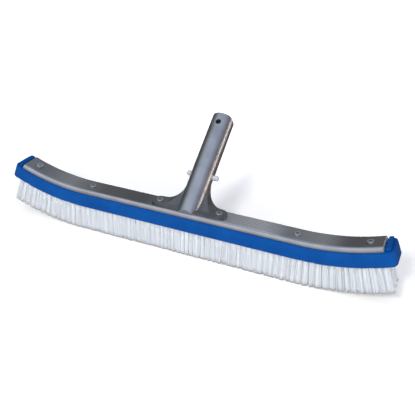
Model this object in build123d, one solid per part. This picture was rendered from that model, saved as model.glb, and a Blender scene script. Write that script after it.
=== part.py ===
from build123d import *
import math
import os

# A pool wall brush, 18 inches long. All sizes are in millimetres and degrees.
# +X runs along the brush, +Y points to the back, where the handle leans, and +Z is up.
# The origin is the middle of the bristle tips, which the brush stands on.

# ---------------------------------------------------------------- brush block
OVERALL_LENGTH = 457.0          # measured along the top of the back plate
STRAIGHT_HALF = 132.1           # the middle of the brush is straight to here
BEND_RADIUS = 239.0             # radius of the raised ends, at the top of the plate
BRISTLE_LENGTH = 31.2
BODY_HEIGHT = 17.6
BODY_WIDTH = 32.0
PLATE_THICKNESS = 5.4
PLATE_WIDTH = 29.0
PLATE_SHOULDER = 4.4            # rounding of the plate's two long top edges
PLATE_RELIEF_WIDTH = 14.0       # shallow channel along the underside of the plate
PLATE_RELIEF_DEPTH = 1.6
PLATE_END_INSET = 10.3          # all insets are measured in from the end of the body
END_WALL_INSET = 2.8
END_WALL_THICKNESS = 5.3
END_WALL_WIDTH = 25.5
END_WALL_HEIGHT = 3.8
BODY_END_CORNER = 6.0
END_WALL_CORNER = 2.5
BODY_BOTTOM_EDGE = 2.6
BODY_TOP_EDGE = 0.8

BODY_BASE_Z = BRISTLE_LENGTH
PLATE_BASE_Z = BODY_BASE_Z + BODY_HEIGHT
PLATE_TOP_Z = PLATE_BASE_Z + PLATE_THICKNESS
BEND_CENTRE_Z = PLATE_TOP_Z + BEND_RADIUS
END_ARC = OVERALL_LENGTH / 2 - STRAIGHT_HALF

# ---------------------------------------------------------------- bristle rows
ROW_COUNT = 5
ROW_PITCH = 5.7
ROW_WIDTH = 4.6
BRISTLE_END_INSET = 9.4

# ---------------------------------------------------------------- blind rivets
PLATE_RIVET_STATIONS = {"left_end": -204.1, "left_middle": -127.2, "right_middle": 127.2, "right_end": 204.1}
FOOT_RIVET_STATIONS = {"left": -36.8, "right": 36.8}
RIVET_FLANGE_RADIUS = 4.5
RIVET_FLANGE_HEIGHT = 1.3
RIVET_SEAT_GAP = 0.06           # the flat flange bridges the hollow of the raised ends
RIVET_SLEEVE_RADIUS = 2.4
RIVET_SLEEVE_REACH = 14.4       # below the top of the plate
RIVET_BORE_RADIUS = 1.35
RIVET_HOLE_RADIUS = 2.5
RIVET_HOLE_REACH = 18.5         # below the top of the plate
MANDREL_RADIUS = 1.25
MANDREL_HEAD_RADIUS = 1.9
MANDREL_HEAD_LENGTH = 2.6
MANDREL_RECESS = 0.6            # how far the snapped end lies below the flange

# ---------------------------------------------------------------- handle
HANDLE_TILT = 38.3              # degrees above the horizontal, leaning back
HANDLE_BASE_Y = 4.4             # where its axis meets the top of the plate
HANDLE_RADIUS = 13.6            # where the pole fits
HANDLE_RELIEF = 0.2             # the tube is this much thinner around the buttons and below
POLE_FIT_START = 46.0           # along the handle's axis, just past the buttons
HANDLE_WALL = 2.8
HANDLE_LENGTH = 119.3           # from the top of the plate to the tip, along the axis
HANDLE_TIP_CORNER = 5.0
HANDLE_HEEL = 4.0               # the tube is solid up to here, along its axis
UNCUT_LENGTH = 40.0             # how far the tube is made past the plate before it is cut
BACK_SLOT_WIDTH = 12.0          # the handle is open along its back
FOOT_HALF_LENGTH = 46.0
FOOT_WIDTH = 20.0
FOOT_THICKNESS = 2.5
SKIRT_HALF_WIDTH = 34.0
SKIRT_HEIGHT = 22.0
SKIRT_FRONT_Y = -12.0           # the tube's lower end is cut upright here
SKIRT_TOE_Y = -9.0              # the webs spread forwards to here
SKIRT_TOE_RISE = 10.0           # degrees, where the webs leave the foot
SKIRT_WEB_THICKNESS = 8.0
POLE_HOLE_RADIUS = 3.25
POLE_HOLE_POSITION = 106.9      # along the handle's axis
POLE_BOSS_RADIUS = 6.0
POLE_BOSS_DEPTH = 8.0           # how far the boss runs behind the handle's axis

# ---------------------------------------------------------------- spring clip
BUTTON_POSITION = 41.2          # along the handle's axis
BUTTON_BACK = 1.2               # behind the handle's axis
BUTTON_REACH = 20.0             # from the axis to the button's nose
BUTTON_RADIUS = 3.0
BUTTON_HOLE_WIDTH = 6.8
BUTTON_HOLE_LENGTH = 9.8
BUTTON_HOLE_SHIFT = 1.3         # the button swings towards the foot as it goes in
CLIP_STRIP = 1.0
CLIP_WIDTH = 6.0
CLIP_PIVOT_X = 3.6
CLIP_PIVOT_POSITION = 78.7
CLIP_ARM_X = 9.0                # middle of the arm's strip at the button
CLIP_ARM_TAIL = 4.0             # the arm runs on past the button
CLIP_GAP = 0.4                  # between the bend and each arm's round end


# ================================================================ helpers
def arc_angle(arc_length):
    """Angle of the raised end after this length of arc along the top of the plate."""
    return math.degrees(arc_length / BEND_RADIUS)


def right_bend_axis():
    """Axis of the right bend; a positive turn about it lifts the end."""
    return Axis((STRAIGHT_HALF, 0, BEND_CENTRE_Z), (0, -1, 0))


def raised_sector(profile, start_angle, end_angle):
    """Piece of the right bend with this Y-Z profile, between two angles."""
    face = Plane.YZ.offset(STRAIGHT_HALF) * profile
    sector = revolve(face, axis=right_bend_axis(), revolution_arc=end_angle - start_angle)
    return sector.rotate(right_bend_axis(), start_angle)


def bent_bar(profile, end_angle):
    """Straight middle and two raised ends with one Y-Z profile."""
    middle = extrude(Plane.YZ.offset(-STRAIGHT_HALF) * profile, amount=2 * STRAIGHT_HALF)
    right_end = raised_sector(profile, 0, end_angle)
    left_end = mirror(right_end, about=Plane.YZ)
    return middle + right_end + left_end


def depth_below_plate(point):
    """Distance from a point to the plate's top surface, following the bend."""
    beyond = abs(point.X) - STRAIGHT_HALF
    if beyond <= 0:
        return PLATE_TOP_Z - point.Z
    return math.hypot(beyond, BEND_CENTRE_Z - point.Z) - BEND_RADIUS


def edges_at_depth(solid, depth):
    """Edges that lie at one depth below the plate's top surface."""
    found = []
    for edge in solid.edges():
        samples = [edge.position_at(t) for t in (0.0, 0.5, 1.0)]
        if all(abs(depth_below_plate(sample) - depth) < 0.01 for sample in samples):
            found.append(edge)
    return found


def upright_end_edges(solid, length):
    """Straight corner edges of this length that stand at the ends of a bent bar."""
    return [
        edge
        for edge in solid.edges().filter_by(GeomType.LINE)
        if abs(edge.tangent_at(0.5).Y) < 0.1
        and abs(edge.length - length) < 0.05
        and abs(edge.center().X) > STRAIGHT_HALF + END_ARC / 2
    ]


def place_along(piece, station):
    """Move a piece built at X = 0 to a station along the plate, square to its surface."""
    side = math.copysign(1, station)
    straight = min(abs(station), STRAIGHT_HALF)
    moved = Pos(straight, 0, 0) * piece
    moved = moved.rotate(right_bend_axis(), arc_angle(abs(station) - straight))
    if side < 0:
        moved = mirror(moved, about=Plane.YZ)
    return moved


def rectangle_between(width, low_z, high_z):
    """Y-Z rectangle centred on the brush, between two heights."""
    return Pos(0, (low_z + high_z) / 2) * Rectangle(width, high_z - low_z)


# ================================================================ brush block
def rivet_hole():
    """Blind hole for one rivet, from above the foot down into the body."""
    height = RIVET_HOLE_REACH + 20
    return Pos(0, 0, PLATE_TOP_Z - RIVET_HOLE_REACH + height / 2) * Cylinder(RIVET_HOLE_RADIUS, height)


def cut_rivet_holes(piece):
    for station in list(PLATE_RIVET_STATIONS.values()) + list(FOOT_RIVET_STATIONS.values()):
        piece = piece - place_along(rivet_hole(), station)
    return piece


def end_wall():
    """Raised wall that closes the right end of the tray."""
    outer_angle = arc_angle(END_ARC - END_WALL_INSET)
    inner_angle = arc_angle(END_ARC - END_WALL_INSET - END_WALL_THICKNESS)
    profile = rectangle_between(END_WALL_WIDTH, PLATE_BASE_Z - 1.0, PLATE_BASE_Z + END_WALL_HEIGHT)
    wall = raised_sector(profile, inner_angle, outer_angle)
    outer_edges = [
        edge
        for edge in wall.edges().filter_by(GeomType.LINE)
        if abs(edge.tangent_at(0.5).Y) < 0.1
    ]
    outer_edges = sorted(outer_edges, key=lambda edge: edge.center().X)[-2:]
    wall = fillet(outer_edges, END_WALL_CORNER)
    top_edges = edges_at_depth(wall, PLATE_THICKNESS - END_WALL_HEIGHT)
    return fillet(top_edges, BODY_TOP_EDGE)


def brush_body():
    """Moulded block that holds the bristles and carries the back plate between its end walls."""
    block = bent_bar(rectangle_between(BODY_WIDTH, BODY_BASE_Z, PLATE_BASE_Z), arc_angle(END_ARC))
    block = fillet(upright_end_edges(block, BODY_HEIGHT), BODY_END_CORNER)
    block = fillet(edges_at_depth(block, PLATE_THICKNESS + BODY_HEIGHT), BODY_BOTTOM_EDGE)
    block = fillet(edges_at_depth(block, PLATE_THICKNESS), BODY_TOP_EDGE)
    wall = end_wall()
    return cut_rivet_holes(block + wall + mirror(wall, about=Plane.YZ))


def back_plate():
    """Aluminium bar with rounded shoulders and a shallow channel underneath."""
    section = rectangle_between(PLATE_WIDTH, PLATE_BASE_Z, PLATE_TOP_Z)
    section = fillet(section.vertices().group_by(Axis.Y)[-1], PLATE_SHOULDER)
    relief = rectangle_between(PLATE_RELIEF_WIDTH, PLATE_BASE_Z, PLATE_BASE_Z + PLATE_RELIEF_DEPTH)
    plate = bent_bar(section - relief, arc_angle(END_ARC - PLATE_END_INSET))
    return cut_rivet_holes(plate)


def bristle_row(index):
    """One row of bristles as a closed strip that follows the underside of the body."""
    offset_y = (index - (ROW_COUNT - 1) / 2) * ROW_PITCH
    profile = Pos(offset_y, 0) * rectangle_between(ROW_WIDTH, 0, BRISTLE_LENGTH)
    return bent_bar(profile, arc_angle(END_ARC - BRISTLE_END_INSET))


# ================================================================ blind rivets
def rivet_sleeve(grip_top):
    """Flanged hollow rivet whose flange sits at the height grip_top."""
    sleeve_bottom = PLATE_TOP_Z - RIVET_SLEEVE_REACH
    sleeve_length = grip_top - sleeve_bottom
    sleeve = Pos(0, 0, sleeve_bottom + sleeve_length / 2) * Cylinder(RIVET_SLEEVE_RADIUS, sleeve_length)
    flange = Pos(0, 0, grip_top + RIVET_FLANGE_HEIGHT / 2) * Cylinder(RIVET_FLANGE_RADIUS, RIVET_FLANGE_HEIGHT)
    flange = fillet(flange.edges().group_by(Axis.Z)[-1], RIVET_FLANGE_HEIGHT * 0.7)
    bore_length = sleeve_length + RIVET_FLANGE_HEIGHT + 2
    bore = Pos(0, 0, sleeve_bottom - 1 + bore_length / 2) * Cylinder(RIVET_BORE_RADIUS, bore_length)
    return sleeve + flange - bore


def rivet_mandrel(grip_top):
    """Snapped steel pin inside a rivet, with its head below the sleeve."""
    sleeve_bottom = PLATE_TOP_Z - RIVET_SLEEVE_REACH
    pin_length = grip_top + RIVET_FLANGE_HEIGHT - MANDREL_RECESS - sleeve_bottom
    pin = Pos(0, 0, sleeve_bottom + pin_length / 2) * Cylinder(MANDREL_RADIUS, pin_length)
    head_middle = sleeve_bottom - MANDREL_HEAD_LENGTH / 2
    head = Pos(0, 0, head_middle) * Cylinder(MANDREL_HEAD_RADIUS, MANDREL_HEAD_LENGTH)
    head = fillet(head.edges().group_by(Axis.Z)[0], MANDREL_HEAD_RADIUS * 0.5)
    return pin + head


# ================================================================ handle
# The handle's own frame: X as the brush, Y towards the handle's open back, Z along its axis.
def handle_frame():
    tilt = math.radians(HANDLE_TILT)
    axis = (0, math.cos(tilt), math.sin(tilt))
    return Plane(origin=(0, HANDLE_BASE_Y, PLATE_TOP_Z), x_dir=(1, 0, 0), z_dir=axis)


def open_ring(radius, start, end):
    """Length of the tube with this outer radius, open along its back."""
    ring = Circle(radius) - Circle(HANDLE_RADIUS - HANDLE_WALL)
    slot = Pos(0, HANDLE_RADIUS) * Rectangle(BACK_SLOT_WIDTH, 2 * HANDLE_RADIUS)
    return Pos(0, 0, start) * extrude(ring - slot, amount=end - start)


def tube_shell():
    """Round tube that is slightly thinner below the pole's fit, longer than needed at the foot."""
    lower = open_ring(HANDLE_RADIUS - HANDLE_RELIEF, -UNCUT_LENGTH, POLE_FIT_START)
    return lower + open_ring(HANDLE_RADIUS, POLE_FIT_START, HANDLE_LENGTH)


def heel():
    """Plug that closes the tube's lower end, longer than needed at the foot."""
    length = UNCUT_LENGTH + HANDLE_HEEL
    return Pos(0, 0, HANDLE_HEEL - length / 2) * Cylinder(HANDLE_RADIUS - HANDLE_WALL / 2, length)


def tip_envelope():
    """Block with two rounded corners that shapes the tip, as seen from the front."""
    below = 50.0
    height = HANDLE_LENGTH + below
    outline = Rectangle(2 * HANDLE_RADIUS, height)
    outline = fillet(outline.vertices().group_by(Axis.Y)[-1], HANDLE_TIP_CORNER)
    face = Plane.XZ * (Pos(0, HANDLE_LENGTH - height / 2) * outline)
    return extrude(face, amount=2 * HANDLE_RADIUS, both=True)


def pole_boss():
    """Boss behind the tip that gives the pole bolt's hole a full wall."""
    reach = HANDLE_RADIUS - HANDLE_WALL / 2
    length = reach + POLE_BOSS_DEPTH
    boss = Cylinder(POLE_BOSS_RADIUS, length, rotation=(90, 0, 0))
    return Pos(0, POLE_BOSS_DEPTH - length / 2, POLE_HOLE_POSITION) * boss


def pole_hole():
    bore = Cylinder(POLE_HOLE_RADIUS, 4 * HANDLE_RADIUS, rotation=(90, 0, 0))
    return Pos(0, 0, POLE_HOLE_POSITION) * bore


def button_holes():
    """One slotted hole through both side walls."""
    outline = SlotOverall(BUTTON_HOLE_LENGTH, BUTTON_HOLE_WIDTH, rotation=90)
    cut = extrude(Plane.YZ * outline, amount=2 * HANDLE_RADIUS, both=True)
    return Pos(0, BUTTON_BACK, BUTTON_POSITION - BUTTON_HOLE_SHIFT) * cut


def foot_flange():
    """Flat foot with round ends, riveted through the plate."""
    outline = SlotOverall(2 * FOOT_HALF_LENGTH, FOOT_WIDTH)
    return Pos(0, 0, PLATE_TOP_Z) * extrude(outline, amount=FOOT_THICKNESS)


def skirt_outline():
    """Front view of the webs that flare from the tube down to the foot."""
    base = PLATE_TOP_Z + 0.2
    low = PLATE_TOP_Z + FOOT_THICKNESS / 2
    top = PLATE_TOP_Z + SKIRT_HEIGHT
    inner = HANDLE_RADIUS - HANDLE_WALL / 2
    right_flare = TangentArc((SKIRT_HALF_WIDTH, low), (inner, top), tangent=(-1, 0))
    left_flare = mirror(right_flare, about=Plane.YZ)
    foot_line = Polyline(
        (SKIRT_HALF_WIDTH, low),
        (SKIRT_HALF_WIDTH, base),
        (-SKIRT_HALF_WIDTH, base),
        (-SKIRT_HALF_WIDTH, low),
    )
    top_line = Line((inner, top), (-inner, top))
    return make_face(foot_line + right_flare + top_line + left_flare)


def skirt_webs():
    """Concave webs beside the tube, which lean back with it and spread forwards at the foot."""
    tilt = math.radians(HANDLE_TILT)
    rise = math.radians(SKIRT_TOE_RISE)
    run = SKIRT_HEIGHT / math.tan(tilt)
    half = SKIRT_WEB_THICKNESS / 2 / math.sin(tilt)
    top = PLATE_TOP_Z + SKIRT_HEIGHT
    toe = (SKIRT_TOE_Y, PLATE_TOP_Z + FOOT_THICKNESS / 2)
    front_top = (HANDLE_BASE_Y - half + run, top)
    cove = TangentArc(toe, front_top, tangent=(math.cos(rise), math.sin(rise)))
    back_and_base = Polyline(
        front_top,
        (HANDLE_BASE_Y + half + run, top),
        (HANDLE_BASE_Y + half, PLATE_TOP_Z),
        (SKIRT_TOE_Y, PLATE_TOP_Z),
        toe,
    )
    band = extrude(Plane.YZ * make_face(cove + back_and_base), amount=SKIRT_HALF_WIDTH, both=True)
    slab = extrude(Plane.XZ * skirt_outline(), amount=run + FOOT_WIDTH, both=True)
    return slab & band


def handle_foot():
    """Foot of the casting: the riveted flange with a flared web on each side of the tube."""
    tube_space = handle_frame() * Cylinder(HANDLE_RADIUS - HANDLE_RELIEF, 4 * HANDLE_LENGTH)
    foot = foot_flange() + (skirt_webs() - tube_space)
    for station in FOOT_RIVET_STATIONS.values():
        foot = foot - place_along(rivet_hole(), station)
    return foot


def handle_tube():
    """Tube of the casting, which stands on the foot and goes inside the pole."""
    frame = handle_frame()
    tube = (tube_shell() & tip_envelope()) + pole_boss()
    tube = frame * (tube - pole_hole() - button_holes())
    above_plate = Pos(0, 0, PLATE_TOP_Z + 200) * Box(400, 600, 400)
    behind_front = Pos(0, SKIRT_FRONT_Y + 300, 0) * Box(400, 600, 600)
    tube = tube & above_plate & behind_front
    plug = frame * heel() & above_plate & behind_front
    return tube + plug - foot_flange()


# ================================================================ spring clip
def arm_direction():
    """Unit vector down the right arm, in the handle's X-Z plane."""
    run = CLIP_ARM_X - CLIP_PIVOT_X
    drop = CLIP_PIVOT_POSITION - BUTTON_POSITION
    length = math.hypot(run, drop)
    return run / length, -drop / length, length


def clip_arm_right():
    """Flat spring strip, round at the end that it turns about, down past the button."""
    along_x, along_z, length = arm_direction()
    total = length + CLIP_ARM_TAIL
    angle = math.degrees(math.atan2(along_x, -along_z))
    strip = Pos(0, 0, -total / 2) * Box(CLIP_STRIP, CLIP_WIDTH, total)
    strip = strip + Cylinder(CLIP_STRIP / 2, CLIP_WIDTH, rotation=(90, 0, 0))
    strip = strip.rotate(Axis.Y, -angle)
    return Pos(CLIP_PIVOT_X, BUTTON_BACK, CLIP_PIVOT_POSITION) * strip


def clip_button_right():
    """Round-nosed pin on the arm, which pokes out through the side of the handle."""
    length = BUTTON_REACH - CLIP_ARM_X
    pin = Cylinder(BUTTON_RADIUS, length, rotation=(0, 90, 0))
    pin = fillet(pin.edges().group_by(Axis.X)[-1], BUTTON_RADIUS * 0.8)
    pin = Pos(CLIP_ARM_X + length / 2, BUTTON_BACK, BUTTON_POSITION) * pin
    return pin - clip_arm_right()


def clip_bend():
    """Bend that joins the two arms at the tip side of the handle."""
    outer = CLIP_PIVOT_X + CLIP_STRIP / 2
    arch = Circle(outer) - Circle(outer - CLIP_STRIP)
    arch = arch & (Pos(0, outer) * Rectangle(4 * outer, 2 * outer))
    solid = extrude(Plane.XZ * arch, amount=CLIP_WIDTH / 2, both=True)
    return Pos(0, BUTTON_BACK, CLIP_PIVOT_POSITION + CLIP_STRIP / 2 + CLIP_GAP) * solid


# ================================================================ all the nodes
def all_nodes():
    nodes = {
        "brush_body": brush_body(),
        "back_plate": back_plate(),
        "handle_tube": handle_tube(),
        "handle_foot": handle_foot(),
    }
    for index in range(ROW_COUNT):
        nodes[f"bristle_row_{index + 1}"] = bristle_row(index)
    plate_seat = PLATE_TOP_Z + RIVET_SEAT_GAP
    for name, station in PLATE_RIVET_STATIONS.items():
        nodes[f"plate_rivet_{name}"] = place_along(rivet_sleeve(plate_seat), station)
        nodes[f"plate_rivet_mandrel_{name}"] = place_along(rivet_mandrel(plate_seat), station)
    foot_top = PLATE_TOP_Z + FOOT_THICKNESS
    for name, station in FOOT_RIVET_STATIONS.items():
        nodes[f"foot_rivet_{name}"] = place_along(rivet_sleeve(foot_top), station)
        nodes[f"foot_rivet_mandrel_{name}"] = place_along(rivet_mandrel(foot_top), station)
    frame = handle_frame()
    right_pieces = {"clip_arm": clip_arm_right(), "clip_button": clip_button_right()}
    for name, piece in right_pieces.items():
        nodes[f"{name}_right"] = frame * piece
        nodes[f"{name}_left"] = frame * mirror(piece, about=Plane.YZ)
    nodes["clip_bend"] = frame * clip_bend()
    return nodes


os.makedirs("parts", exist_ok=True)
for node_name, node_shape in all_nodes().items():
    export_step(node_shape, f"parts/{node_name}.step")
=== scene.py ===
import math
import random

import bmesh
import bpy
from mathutils import Matrix, Vector


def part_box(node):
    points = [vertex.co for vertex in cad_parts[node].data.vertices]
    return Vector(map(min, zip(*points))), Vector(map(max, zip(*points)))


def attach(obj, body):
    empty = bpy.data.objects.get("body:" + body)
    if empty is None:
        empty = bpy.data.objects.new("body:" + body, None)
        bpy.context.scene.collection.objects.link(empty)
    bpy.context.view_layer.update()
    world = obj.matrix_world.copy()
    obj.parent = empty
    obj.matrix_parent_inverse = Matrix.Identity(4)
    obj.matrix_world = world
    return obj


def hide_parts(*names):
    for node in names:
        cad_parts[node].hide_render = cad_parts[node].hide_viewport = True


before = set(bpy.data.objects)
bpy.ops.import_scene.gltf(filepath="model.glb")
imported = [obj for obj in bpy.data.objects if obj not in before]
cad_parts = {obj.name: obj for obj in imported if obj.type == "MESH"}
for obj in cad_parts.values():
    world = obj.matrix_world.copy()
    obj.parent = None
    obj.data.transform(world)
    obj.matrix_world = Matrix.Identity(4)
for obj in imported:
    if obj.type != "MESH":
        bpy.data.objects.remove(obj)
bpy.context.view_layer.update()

# All sizes are in metres, in the frame of the CAD model: X along the brush, Y to the back, Z up.

# ---------------------------------------------------------------- sizes worked out from the frame, and others given
ROWS = sorted(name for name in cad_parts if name.startswith("bristle_row_"))
PLATE_LOW, PLATE_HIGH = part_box("back_plate")
BODY_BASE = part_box("brush_body")[0][2]

# The plate and the body follow one line: straight in the middle, then an arc at each end.
STRAIGHT_HALF = 0.1321
BEND_RADIUS = 0.239
PLATE_THICKNESS = 0.0054
PLATE_TOP = PLATE_LOW[2] + PLATE_THICKNESS
BEND_CENTRE_HEIGHT = PLATE_TOP + BEND_RADIUS

# Runs are measured along that line from the middle of the brush.
BODY_HALF_RUN = 0.2285
ROW_END_MARGIN = 0.0094
ROW_HALF_RUN = BODY_HALF_RUN - ROW_END_MARGIN

# ---------------------------------------------------------------- bristles
TUFTS_PER_ROW = 70
FILAMENTS_PER_TUFT = 58
FILAMENT_RADIUS = 0.0003
FILAMENT_SIDES = 3
FILAMENT_STATIONS = (0.0, 0.4, 0.8, 1.0)     # shares of its length where a strand has a ring
TUFT_ROOT_HALF_LENGTH = 0.0028
TUFT_ROOT_HALF_WIDTH = 0.0024
TUFT_TIP_HALF_LENGTH = 0.0035    # along the brush, so that the tufts of a row meet at their tips
TUFT_TIP_HALF_WIDTH = 0.0030
LAST_TUFT_MARGIN = 0.0024        # from the end of a row to the middle of its last tuft
TUFT_FLARE = 1.15                # power of the share of its length by which a tuft widens
TUFT_LEAN = 0.0001
FILAMENT_LEAN = 0.0002
FILAMENT_BOW = 0.00025
TIP_UNEVENNESS = 0.0002

# Nylon, with a painted glow, and how much of its colour a strand keeps at its tip and beside the next tuft,
# which is painted shade.
NYLON_COLOURS = ((0.605, 0.63, 0.665), (0.67, 0.69, 0.72))
# Painted glow: the strands give off light of their own, less at their tips.
NYLON_PAINTED_GLOW = (0.90, 0.95, 1.0)
NYLON_PAINTED_GLOW_STRENGTH = 0.18
# Painted shade: the tips are darkened where the contact shadow falls under them.
TIP_PAINTED_SHADE = (0.45, 0.44, 0.43)
TIP_PAINTED_GLOW = (0.3, 0.3, 0.3)
TIP_SHARES = (0.92, 1.0)
# Painted shade: the sides of each tuft are darkened where the next tufts shade them.
GAP_PAINTED_SHADE = (0.88, 0.885, 0.90)
GAP_SHARES = (0.55, 1.0)
UNSHADED = (1, 1, 1)

# ---------------------------------------------------------------- plate finish, with a painted reflection
# Painted reflection: how light the top of the plate is, from its left end, 0, to its right end, 1.
PLATE_PAINTED_REFLECTION = (
    (0.04, 0.28),
    (0.14, 0.58),
    (0.25, 0.30),
    (0.37, 0.23),
    (0.60, 0.76),
    (0.70, 0.93),
    (0.77, 0.46),
    (0.86, 0.62),
    (0.92, 0.28),
    (0.98, 0.24),
)
PLATE_PAINTED_REFLECTION_WAVER = 0.012
PLATE_BRIGHT = ((0.54, 0.54, 0.56), (0.66, 0.66, 0.68))
PLATE_TOP_FACING = (0.86, 0.97)
# The sawn end faces get a painted reflection: a light warm colour with less metal to it.
SAWN_END_PAINTED_REFLECTION = (0.86, 0.78, 0.72)
SAWN_END_FACING = (0.80, 0.90)
SAWN_END_METALLIC = 0.25

# ---------------------------------------------------------------- other finishes
BLUE_COLOURS = ((0.0005, 0.052, 0.228), (0.0012, 0.066, 0.275))
BUTTON_COLOURS = ((0.41, 0.42, 0.44), (0.51, 0.52, 0.54))
METALS = {
    "cast_aluminium": {
        "colours": ((0.48, 0.50, 0.53), (0.60, 0.62, 0.65)),
        "roughness": (0.28, 0.40),
        "grain_scale": 500.0,
        "grain_strength": 0.25,
    },
    # The foot: a rougher cast finish, darkened with painted shade as a darker copy of the aluminium.
    "rough_cast_aluminium_painted_shade": {
        "colours": ((0.23, 0.23, 0.23), (0.34, 0.34, 0.34)),
        "roughness": (0.42, 0.56),
        "grain_scale": 500.0,
        "grain_strength": 0.4,
    },
    "rivet_aluminium": {
        "colours": ((0.52, 0.52, 0.54), (0.66, 0.66, 0.68)),
        "roughness": (0.25, 0.35),
        "grain_scale": 700.0,
        "grain_strength": 0.2,
    },
    "rivet_steel": {
        "colours": ((0.16, 0.16, 0.17), (0.26, 0.26, 0.27)),
        "roughness": (0.35, 0.5),
        "grain_scale": 900.0,
        "grain_strength": 0.3,
    },
    "spring_steel": {
        "colours": ((0.40, 0.40, 0.42), (0.52, 0.52, 0.53)),
        "roughness": (0.22, 0.32),
        "grain_scale": 600.0,
        "grain_strength": 0.15,
        "grain_stretch": (1, 1, 0.05),
    },
}

# ---------------------------------------------------------------- light
LIGHT_AIM = Vector((0, 0.02, 0.04))
KEY_DIRECTION = Vector((0.01, -0.79, 0.61))
KEY_DISTANCE = 1.3
KEY_PLACE = LIGHT_AIM + KEY_DIRECTION.normalized() * KEY_DISTANCE
WHITE = (1, 1, 1)
# Name, place, width and height, power, colour, and whether the metal reflects it.
SOFTBOXES = (
    ("key_softbox", KEY_PLACE, (0.22, 0.22), 9.8, WHITE, False),
    ("top_softbox", (0.0, -0.1, 1.7), (1.8, 1.4), 5.4, WHITE, False),
    ("side_fill", (0.9, -0.9, 0.7), (0.9, 0.9), 3.5, WHITE, False),
    ("right_strip", (1.11, 0.44, 0.16), (0.9, 0.15), 1.55, (1.0, 0.88, 0.78), True),
)

# Direction, cosines between which the glow fades in, and the colour without and with it.
WORLD_GLOWS = (
    ((0, 0, 1), (0.35, 0.95), (0.085, 0.085, 0.088), (0.30, 0.35, 0.45)),
    ((-0.62, -0.3, 0.72), (0.80, 0.97), (0, 0, 0), (0.27, 0.28, 0.28)),
    ((0.60, -0.2, 0.78), (0.72, 0.98), (0, 0, 0), (0.13, 0.15, 0.19)),
    ((-0.3, 0.8, 0.5), (0.60, 0.97), (0, 0, 0), (0.14, 0.14, 0.14)),
    ((0.05, -0.80, 0.55), (0.60, 0.95), (0, 0, 0), (0.42, 0.43, 0.45)),
    ((-0.2, -0.9, -0.3), (0.50, 0.95), (0, 0, 0), (0.26, 0.26, 0.28)),
    ((1, 0, -0.3), (0.1, 0.9), (0, 0, 0), (0.05, 0.02, 0.01)),
)

FLOOR_COLOUR = (0.95, 0.93, 0.905)
FLOOR_HALF_SIZE = 4.0
FLOOR_DROP = 0.0002              # below the bristle tips, so that the faces don't coincide
FLOOR_GLOW_STRETCH = 0.45        # along the brush, so that the dimmer patch is as long as the brush
FLOOR_GLOW_REACH = (0.12, 0.40)
FLOOR_GLOW = (0.17, 0.90)
BACKDROP_RADIUS = 3.9

# ---------------------------------------------------------------- camera
CAMERA_AIM = Vector((0.0180, 0.0109, 0.0542))
CAMERA_AZIMUTH = 22.7
CAMERA_ELEVATION = 29.3
CAMERA_DISTANCE = 0.7031
CAMERA_ROLL = 1.46
CAMERA_LENS = 53.57
CAMERA_SENSOR = 36.0


def point_on_line(run, depth):
    """Place and outward direction at a run along the brush and a depth below the plate's top."""
    side = math.copysign(1, run)
    beyond = max(abs(run) - STRAIGHT_HALF, 0.0)
    angle = beyond / BEND_RADIUS
    radius = BEND_RADIUS + depth
    x = min(abs(run), STRAIGHT_HALF) + radius * math.sin(angle)
    z = BEND_CENTRE_HEIGHT - radius * math.cos(angle)
    outward = Vector((side * math.sin(angle), 0, -math.cos(angle)))
    return Vector((side * x, 0, z)), outward


def add_mesh(name, vertices, faces, material):
    """Smooth-shaded mesh object with one material."""
    mesh = bpy.data.meshes.new(name)
    mesh.from_pydata(vertices, [], faces)
    mesh.materials.append(material)
    mesh.validate()
    mesh.shade_smooth()
    piece = bpy.data.objects.new(name, mesh)
    bpy.context.scene.collection.objects.link(piece)
    return piece


# ================================================================ materials
def new_material(name):
    """Material with its nodes, its links and its shader."""
    material = bpy.data.materials.new(name)
    material.use_nodes = True
    nodes = material.node_tree.nodes
    shader = nodes["Principled BSDF"]
    return material, nodes, material.node_tree.links, shader


def noise(nodes, links, scale, detail=3.0, stretch=(1, 1, 1)):
    """Noise in object space, stretched by a mapping."""
    place = nodes.new("ShaderNodeTexCoord")
    mapping = nodes.new("ShaderNodeMapping")
    mapping.inputs["Scale"].default_value = stretch
    texture = nodes.new("ShaderNodeTexNoise")
    texture.inputs["Scale"].default_value = scale
    texture.inputs["Detail"].default_value = detail
    links.new(place.outputs["Object"], mapping.inputs["Vector"])
    links.new(mapping.outputs["Vector"], texture.inputs["Vector"])
    return texture.outputs["Fac"]


def ramp(nodes, links, factor, low, high, start=0.3, end=0.7):
    """Colour ramp between two colours."""
    node = nodes.new("ShaderNodeValToRGB")
    node.color_ramp.elements[0].position = start
    node.color_ramp.elements[0].color = (*low, 1)
    node.color_ramp.elements[1].position = end
    node.color_ramp.elements[1].color = (*high, 1)
    links.new(factor, node.inputs["Fac"])
    return node.outputs["Color"]


def multiply(nodes, links, first, second):
    """Product of two colours."""
    node = nodes.new("ShaderNodeMix")
    node.data_type = "RGBA"
    node.blend_type = "MULTIPLY"
    node.inputs["Factor"].default_value = 1.0
    links.new(first, node.inputs["A"])
    links.new(second, node.inputs["B"])
    return node.outputs["Result"]


def spread(nodes, links, factor, low, high):
    """Maps a 0 to 1 value to a range."""
    node = nodes.new("ShaderNodeMapRange")
    node.inputs["To Min"].default_value = low
    node.inputs["To Max"].default_value = high
    links.new(factor, node.inputs["Value"])
    return node.outputs["Result"]


def facing(nodes, links, component, start, end):
    """How squarely a face looks along an axis, either way: 0 up to the start, 1 from the end."""
    size = nodes.new("ShaderNodeMath")
    size.operation = "ABSOLUTE"
    links.new(component, size.inputs[0])
    node = nodes.new("ShaderNodeMapRange")
    node.inputs["From Min"].default_value = start
    node.inputs["From Max"].default_value = end
    links.new(size.outputs["Value"], node.inputs["Value"])
    return node.outputs["Result"]


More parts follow.
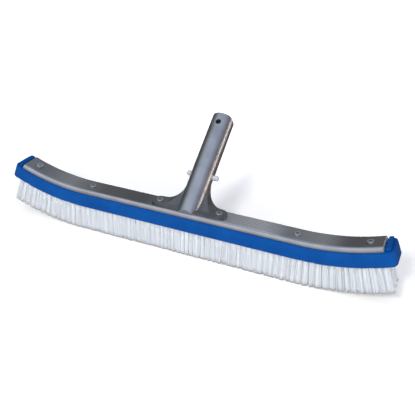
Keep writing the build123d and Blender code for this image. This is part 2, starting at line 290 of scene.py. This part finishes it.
def bump(nodes, links, height, shader, strength, distance):
    """Gives the shader a bump from a height."""
    node = nodes.new("ShaderNodeBump")
    node.inputs["Strength"].default_value = strength
    node.inputs["Distance"].default_value = distance
    links.new(height, node.inputs["Height"])
    links.new(node.outputs["Normal"], shader.inputs["Normal"])


def metal(name, colours, roughness, grain_scale, grain_strength, grain_stretch=(1, 1, 1)):
    """Blotchy metal with a fine grain in its roughness and surface."""
    material, nodes, links, shader = new_material(name)
    shader.inputs["Metallic"].default_value = 1.0
    blotch = noise(nodes, links, 60.0, 4.0)
    links.new(ramp(nodes, links, blotch, *colours), shader.inputs["Base Color"])
    grain = noise(nodes, links, grain_scale, 2.0, grain_stretch)
    links.new(spread(nodes, links, grain, *roughness), shader.inputs["Roughness"])
    bump(nodes, links, grain, shader, grain_strength, 0.0002)
    return material


def plate_aluminium():
    """Extruded bar: mill grain along X, a painted reflection that makes the top duller in places than the
    shoulders, sawn ends that get a painted reflection in a light warm colour.
    """
    material, nodes, links, shader = new_material("plate_aluminium")
    place = nodes.new("ShaderNodeTexCoord")
    position = nodes.new("ShaderNodeSeparateXYZ")
    links.new(place.outputs["Object"], position.inputs["Vector"])
    normal = nodes.new("ShaderNodeSeparateXYZ")
    links.new(place.outputs["Normal"], normal.inputs["Vector"])

    # Painted reflection: the top is lighter and darker in patches along the brush, unlike the shoulders.
    blotch = noise(nodes, links, 25.0, 3.0)
    waver = spread(nodes, links, blotch, -PLATE_PAINTED_REFLECTION_WAVER, PLATE_PAINTED_REFLECTION_WAVER)
    along = nodes.new("ShaderNodeMath")
    along.operation = "ADD"
    links.new(position.outputs["X"], along.inputs[0])
    links.new(waver, along.inputs[1])
    run = nodes.new("ShaderNodeMapRange")
    run.inputs["From Min"].default_value = PLATE_LOW[0]
    run.inputs["From Max"].default_value = PLATE_HIGH[0]
    links.new(along.outputs["Value"], run.inputs["Value"])
    painted_reflection = nodes.new("ShaderNodeValToRGB")
    stops = painted_reflection.color_ramp.elements
    while len(stops) < len(PLATE_PAINTED_REFLECTION):
        stops.new(0.5)
    for stop, (share, grey) in zip(stops, PLATE_PAINTED_REFLECTION):
        stop.position = share
        stop.color = (grey, grey * 1.01, grey * 1.03, 1)
    links.new(run.outputs["Result"], painted_reflection.inputs["Fac"])

    bright = ramp(nodes, links, noise(nodes, links, 60.0, 4.0), *PLATE_BRIGHT)
    top = nodes.new("ShaderNodeMix")
    top.data_type = "RGBA"
    links.new(facing(nodes, links, normal.outputs["Z"], *PLATE_TOP_FACING), top.inputs["Factor"])
    links.new(bright, top.inputs["A"])
    links.new(painted_reflection.outputs["Color"], top.inputs["B"])
    # Painted reflection on the sawn end faces: a light warm colour and less metal.
    sawn = facing(nodes, links, normal.outputs["X"], *SAWN_END_FACING)
    surface = nodes.new("ShaderNodeMix")
    surface.data_type = "RGBA"
    links.new(sawn, surface.inputs["Factor"])
    links.new(top.outputs["Result"], surface.inputs["A"])
    surface.inputs["B"].default_value = (*SAWN_END_PAINTED_REFLECTION, 1)
    links.new(surface.outputs["Result"], shader.inputs["Base Color"])
    links.new(spread(nodes, links, sawn, 1.0, SAWN_END_METALLIC), shader.inputs["Metallic"])

    grain = noise(nodes, links, 400.0, 2.0, (0.02, 1, 1))
    links.new(spread(nodes, links, grain, 0.22, 0.32), shader.inputs["Roughness"])
    bump(nodes, links, grain, shader, 0.06, 0.0002)
    return material


def blue_plastic():
    """Satin moulded plastic."""
    material, nodes, links, shader = new_material("blue_plastic")
    blotch = noise(nodes, links, 35.0, 3.0)
    colour = ramp(nodes, links, blotch, *BLUE_COLOURS)
    links.new(colour, shader.inputs["Base Color"])
    grain = noise(nodes, links, 900.0, 2.0)
    links.new(spread(nodes, links, grain, 0.36, 0.48), shader.inputs["Roughness"])
    shader.inputs["Specular IOR Level"].default_value = 0.07
    bump(nodes, links, grain, shader, 0.12, 0.0001)
    return material


def bristle_nylon():
    """Milky strands that let some light through, with a painted glow, and painted shade that darkens them
    at their tips and between the tufts.
    """
    material, nodes, links, shader = new_material("bristle_nylon")
    blotch = noise(nodes, links, 260.0, 2.0, (1, 1, 0.1))
    colour = ramp(nodes, links, blotch, *NYLON_COLOURS)
    share = nodes.new("ShaderNodeAttribute")
    share.attribute_name = "share_of_length"
    # Painted shade at the tips, for the contact shadow under them.
    tip_painted_shade = ramp(nodes, links, share.outputs["Fac"], UNSHADED, TIP_PAINTED_SHADE, *TIP_SHARES)
    width = nodes.new("ShaderNodeAttribute")
    width.attribute_name = "share_of_width"
    # Painted shade beside the next tuft, where the tufts shade each other.
    gap_painted_shade = ramp(nodes, links, width.outputs["Fac"], UNSHADED, GAP_PAINTED_SHADE, *GAP_SHARES)
    shade = multiply(nodes, links, tip_painted_shade, gap_painted_shade)
    links.new(multiply(nodes, links, colour, shade), shader.inputs["Base Color"])
    # Painted glow, dimmer at the tips and beside the next tuft.
    tip_painted_glow = ramp(nodes, links, share.outputs["Fac"], NYLON_PAINTED_GLOW, TIP_PAINTED_GLOW, *TIP_SHARES)
    links.new(multiply(nodes, links, tip_painted_glow, gap_painted_shade), shader.inputs["Emission Color"])
    shader.inputs["Emission Strength"].default_value = NYLON_PAINTED_GLOW_STRENGTH
    shader.inputs["Roughness"].default_value = 0.42
    shader.inputs["Subsurface Weight"].default_value = 0.35
    shader.inputs["Subsurface Radius"].default_value = (0.002, 0.002, 0.002)
    shader.inputs["Subsurface Scale"].default_value = 1.0
    return material


def button_plastic():
    """Pale glossy plastic."""
    material, nodes, links, shader = new_material("button_plastic")
    blotch = noise(nodes, links, 300.0, 2.0)
    colour = ramp(nodes, links, blotch, *BUTTON_COLOURS)
    links.new(colour, shader.inputs["Base Color"])
    shader.inputs["Roughness"].default_value = 0.3
    return material


def dress(material, *names):
    """Gives CAD nodes a better material."""
    for name in names:
        for material_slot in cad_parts[name].material_slots:
            material_slot.material = material


# ================================================================ bristles
def filament(vertices, faces, points, radius):
    """Thin strand through the points, closed at both ends."""
    sides = FILAMENT_SIDES
    first = len(vertices)
    spin = random.random() * math.tau
    for index, point in enumerate(points):
        ahead = points[min(index + 1, len(points) - 1)] - points[max(index - 1, 0)]
        across = ahead.cross(Vector((0, 1, 0))).normalized()
        along_y = across.cross(ahead).normalized()
        for side in range(sides):
            angle = spin + side * math.tau / sides
            vertices.append(point + (across * math.cos(angle) + along_y * math.sin(angle)) * radius)
    for ring in range(len(points) - 1):
        for side in range(sides):
            a = first + ring * sides + side
            b = first + ring * sides + (side + 1) % sides
            faces.append((a, b, b + sides, a + sides))
    last = first + (len(points) - 1) * sides
    faces.append(tuple(first + side for side in reversed(range(sides))))
    faces.append(tuple(last + side for side in range(sides)))


def tuft(vertices, faces, widths, run, row_y):
    """One tuft of strands that fans out from its hole to its trimmed tips.

    Widths gets, for each vertex, how far along the brush its strand's place is from the middle of
    the tuft, as a share of the tuft's half length.
    """
    root, outward = point_on_line(run, PLATE_TOP - BODY_BASE)
    length = BODY_BASE
    along = Vector((-outward.z, 0, outward.x))
    lean_x = random.gauss(0, TUFT_LEAN)
    lean_y = random.gauss(0, TUFT_LEAN)
    for _ in range(FILAMENTS_PER_TUFT):
        reach = math.sqrt(random.random())
        turn = random.random() * math.tau
        spread_out = reach / max(abs(math.cos(turn)), abs(math.sin(turn)))
        share_x = spread_out * math.cos(turn)
        share_y = spread_out * math.sin(turn)
        root_x = TUFT_ROOT_HALF_LENGTH * share_x
        root_y = TUFT_ROOT_HALF_WIDTH * share_y
        tip_x = TUFT_TIP_HALF_LENGTH * share_x + lean_x + random.gauss(0, FILAMENT_LEAN)
        tip_y = TUFT_TIP_HALF_WIDTH * share_y + lean_y + random.gauss(0, FILAMENT_LEAN)
        tip_y = max(-TUFT_TIP_HALF_WIDTH, min(TUFT_TIP_HALF_WIDTH, tip_y))
        drop = length - random.random() * TIP_UNEVENNESS
        bow = random.gauss(0, FILAMENT_BOW)
        points = []
        for share in FILAMENT_STATIONS:
            curve = bow * math.sin(share * math.pi)
            sideways = root_x + (tip_x - root_x) * share ** TUFT_FLARE + curve
            depth_y = root_y + (tip_y - root_y) * share ** TUFT_FLARE + curve
            centre = root + outward * (drop * share) + along * sideways
            points.append(centre + Vector((0, row_y + depth_y, 0)))
        filament(vertices, faces, points, FILAMENT_RADIUS)
        widths.extend([abs(share_x)] * len(points) * FILAMENT_SIDES)


def add_point_values(piece, name, values):
    """Gives each vertex of a piece a number that its material reads."""
    attribute = piece.data.attributes.new(name, "FLOAT", "POINT")
    attribute.data.foreach_set("value", values)


def bristle_rows(material):
    """The rows of tufts. Every other row is half a step along and has one tuft fewer."""
    half_run = ROW_HALF_RUN - LAST_TUFT_MARGIN
    for index, name in enumerate(ROWS):
        low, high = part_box(name)
        row_y = (low[1] + high[1]) / 2
        vertices, faces, widths = [], [], []
        shift = 0.0 if index % 2 == 0 else 0.5
        count = TUFTS_PER_ROW if index % 2 == 0 else TUFTS_PER_ROW - 1
        for number in range(count):
            run = -half_run + (number + shift) * 2 * half_run / (TUFTS_PER_ROW - 1)
            tuft(vertices, faces, widths, run, row_y)
        piece = add_mesh(f"tufts_{name}", vertices, faces, material)
        rings = [station for station in FILAMENT_STATIONS for _ in range(FILAMENT_SIDES)]
        add_point_values(piece, "share_of_length", rings * (len(vertices) // len(rings)))
        add_point_values(piece, "share_of_width", widths)
        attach(piece, "brush")
        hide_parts(name)


# ================================================================ studio
def make_floor():
    """White floor that glows more the further it is from the brush, so that it ends in pure white."""
    material, nodes, links, shader = new_material("studio_floor")
    shader.inputs["Base Color"].default_value = (*FLOOR_COLOUR, 1)
    shader.inputs["Roughness"].default_value = 0.8
    place = nodes.new("ShaderNodeTexCoord")
    mapping = nodes.new("ShaderNodeMapping")
    mapping.inputs["Scale"].default_value = (FLOOR_GLOW_STRETCH, 1, 1)
    links.new(place.outputs["Object"], mapping.inputs["Vector"])
    distance = nodes.new("ShaderNodeVectorMath")
    distance.operation = "LENGTH"
    links.new(mapping.outputs["Vector"], distance.inputs[0])
    glow = nodes.new("ShaderNodeMapRange")
    glow.interpolation_type = "SMOOTHSTEP"
    for bound, reach, strength in zip(("Min", "Max"), FLOOR_GLOW_REACH, FLOOR_GLOW):
        glow.inputs[f"From {bound}"].default_value = reach
        glow.inputs[f"To {bound}"].default_value = strength
    links.new(distance.outputs["Value"], glow.inputs["Value"])
    links.new(glow.outputs["Result"], shader.inputs["Emission Strength"])
    shader.inputs["Emission Color"].default_value = (1, 1, 1, 1)
    size = FLOOR_HALF_SIZE
    floor = add_mesh(
        "studio_floor",
        [(-size, -size, 0), (size, -size, 0), (size, size, 0), (-size, size, 0)],
        [(0, 1, 2, 3)],
        material,
    )
    floor.location.z = -FLOOR_DROP
    floor.visible_glossy = False


def make_backdrop():
    """White dome round the floor, which only the camera sees."""
    material, _, _, shader = new_material("studio_backdrop")
    shader.inputs["Emission Color"].default_value = (1, 1, 1, 1)
    shader.inputs["Emission Strength"].default_value = 1.0
    mesh = bpy.data.meshes.new("studio_backdrop")
    shape = bmesh.new()
    bmesh.ops.create_uvsphere(shape, u_segments=64, v_segments=32, radius=BACKDROP_RADIUS)
    shape.to_mesh(mesh)
    shape.free()
    mesh.materials.append(material)
    dome = bpy.data.objects.new("studio_backdrop", mesh)
    dome.visible_diffuse = False
    dome.visible_glossy = False
    dome.visible_transmission = False
    dome.visible_shadow = False
    bpy.context.scene.collection.objects.link(dome)


def add_softbox(name, place, size, power, colour, reflected):
    """Rectangular area light that faces the brush."""
    data = bpy.data.lights.new(name, "AREA")
    data.shape = "RECTANGLE"
    data.size, data.size_y = size
    data.energy = power
    data.color = colour
    light = bpy.data.objects.new(name, data)
    light.location = place
    light.rotation_euler = (LIGHT_AIM - Vector(place)).to_track_quat("-Z", "Y").to_euler()
    light.visible_glossy = reflected
    bpy.context.scene.collection.objects.link(light)


def world_glow(nodes, links, direction, edges):
    """How far a view of the world points along a direction: 0 before the first edge, 1 past the second."""
    place = nodes.new("ShaderNodeTexCoord")
    dot = nodes.new("ShaderNodeVectorMath")
    dot.operation = "DOT_PRODUCT"
    dot.inputs[1].default_value = Vector(direction).normalized()
    links.new(place.outputs["Generated"], dot.inputs[0])
    reach = nodes.new("ShaderNodeMapRange")
    reach.interpolation_type = "SMOOTHSTEP"
    reach.inputs["From Min"].default_value = edges[0]
    reach.inputs["From Max"].default_value = edges[1]
    links.new(dot.outputs["Value"], reach.inputs["Value"])
    return reach.outputs["Result"]


def make_world():
    """Dim studio with a cool glow overhead and soft patches of light round it, for the metal to reflect."""
    world = bpy.data.worlds.new("studio_world")
    world.use_nodes = True
    nodes = world.node_tree.nodes
    links = world.node_tree.links
    colour = None
    for direction, edges, dark, light in WORLD_GLOWS:
        layer = nodes.new("ShaderNodeMix")
        layer.data_type = "RGBA"
        layer.inputs["A"].default_value = (*dark, 1)
        layer.inputs["B"].default_value = (*light, 1)
        links.new(world_glow(nodes, links, direction, edges), layer.inputs["Factor"])
        if colour is not None:
            total = nodes.new("ShaderNodeMix")
            total.data_type = "RGBA"
            total.blend_type = "ADD"
            total.inputs["Factor"].default_value = 1.0
            links.new(colour, total.inputs["A"])
            links.new(layer.outputs["Result"], total.inputs["B"])
            colour = total.outputs["Result"]
        else:
            colour = layer.outputs["Result"]
    links.new(colour, nodes["Background"].inputs["Color"])
    bpy.context.scene.world = world


def make_camera():
    """Camera on a sphere round its aim, rolled a little about its line of sight."""
    azimuth = math.radians(CAMERA_AZIMUTH)
    elevation = math.radians(CAMERA_ELEVATION)
    direction = Vector(
        (
            math.sin(azimuth) * math.cos(elevation),
            -math.cos(azimuth) * math.cos(elevation),
            math.sin(elevation),
        )
    )
    data = bpy.data.cameras.new("camera")
    data.lens = CAMERA_LENS
    data.sensor_width = CAMERA_SENSOR
    data.clip_start = 0.01
    camera = bpy.data.objects.new("camera", data)
    look = (-direction).to_track_quat("-Z", "Y").to_matrix()
    roll = Matrix.Rotation(math.radians(CAMERA_ROLL), 3, "Z")
    place = Matrix.Translation(CAMERA_AIM + direction * CAMERA_DISTANCE)
    camera.matrix_world = place @ (look @ roll).to_4x4()
    bpy.context.scene.collection.objects.link(camera)
    bpy.context.scene.camera = camera
    bpy.context.scene.view_settings.view_transform = "Standard"


# ================================================================ the scene
random.seed(18)
make_camera()
make_floor()
make_backdrop()
make_world()
for softbox in SOFTBOXES:
    add_softbox(*softbox)

metals = {name: metal(name, **finish) for name, finish in METALS.items()}
dress(blue_plastic(), "brush_body")
dress(plate_aluminium(), "back_plate")
dress(metals["cast_aluminium"], "handle_tube")
dress(metals["rough_cast_aluminium_painted_shade"], "handle_foot")
for node_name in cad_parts:
    if "mandrel" in node_name:
        dress(metals["rivet_steel"], node_name)
    elif "rivet" in node_name:
        dress(metals["rivet_aluminium"], node_name)
dress(metals["spring_steel"], "clip_bend", "clip_arm_left", "clip_arm_right")
dress(button_plastic(), "clip_button_left", "clip_button_right")
bristle_rows(bristle_nylon())
